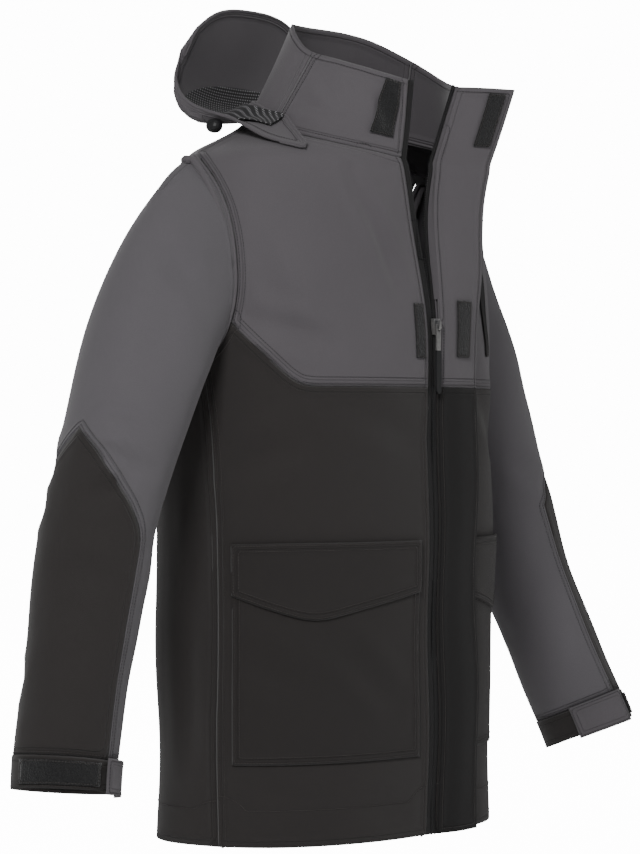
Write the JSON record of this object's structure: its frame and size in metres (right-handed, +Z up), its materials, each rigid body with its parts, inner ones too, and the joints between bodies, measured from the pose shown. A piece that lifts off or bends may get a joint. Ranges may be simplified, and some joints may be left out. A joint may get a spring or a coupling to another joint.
{
  "type": "hooded softshell jacket",
  "caption": "Hip-length softshell jacket with a grey yoke and sleeves over black, hanging hollow as worn, with its zip open to the chest.",
  "frame": {"origin": "between the shoulders, at the height of the shoulder points, where a wearer's shoulders hold the jacket", "axes": "+Z up, the front faces -Y, the wearer's right side is at -X"},
  "size_m": [0.9257, 0.3104, 0.8931],
  "materials": {
    "grey_softshell": "matt bonded softshell",
    "black_softshell": "matt bonded softshell",
    "hook_tape": "rough hook and loop tape",
    "zip_tape": "woven tape",
    "mesh_lining": "open knit mesh",
    "moulded_trim": "satin",
    "zip_metal": "dark satin"
  },
  "bodies": {
    "garment": {"back_lower": "black_softshell", "back_yoke": "grey_softshell", "chest_zip": "zip_tape", "collar_back": "grey_softshell", "collar_left": "grey_softshell", "collar_right": "grey_softshell", "cord_lock_left": "moulded_trim", "cord_lock_right": "moulded_trim", "cuff_hook_left": "hook_tape", "cuff_hook_right": "hook_tape", "cuff_left": "black_softshell", "cuff_right": "black_softshell", "cuff_tab_left": "grey_softshell", "cuff_tab_right": "grey_softshell", "front_lower_left": "black_softshell", "front_lower_right": "black_softshell", "front_yoke_left": "grey_softshell", "front_yoke_right": "grey_softshell", "hood": "grey_softshell", "hood_lining": "mesh_lining", "patch_collar": "hook_tape", "patch_flap_chest": "hook_tape", "patch_flap_top": "hook_tape", "patch_yoke": "hook_tape", "pocket_flap_left": "black_softshell", "pocket_flap_right": "black_softshell", "pocket_left": "black_softshell", "pocket_right": "black_softshell", "sleeve_left": "grey_softshell", "sleeve_panel_left": "black_softshell", "sleeve_panel_right": "black_softshell", "sleeve_right": "grey_softshell", "storm_flap_lower": "black_softshell", "storm_flap_upper": "grey_softshell", "zip_slider": "zip_metal", "zip_tape_left": "zip_tape", "zip_tape_right": "zip_tape"},
    "pull": {"zip_pull": "zip_metal", "zip_pull_tail": "moulded_trim"}
  },
  "joints": [
    {"name": "zip_pull_hinge", "type": "hinge", "parent": "garment", "child": "pull", "pos_m": [0, -0.1578, -0.176], "axis": [-1, 0, 0], "range_deg": [0, 150]}
  ]
}
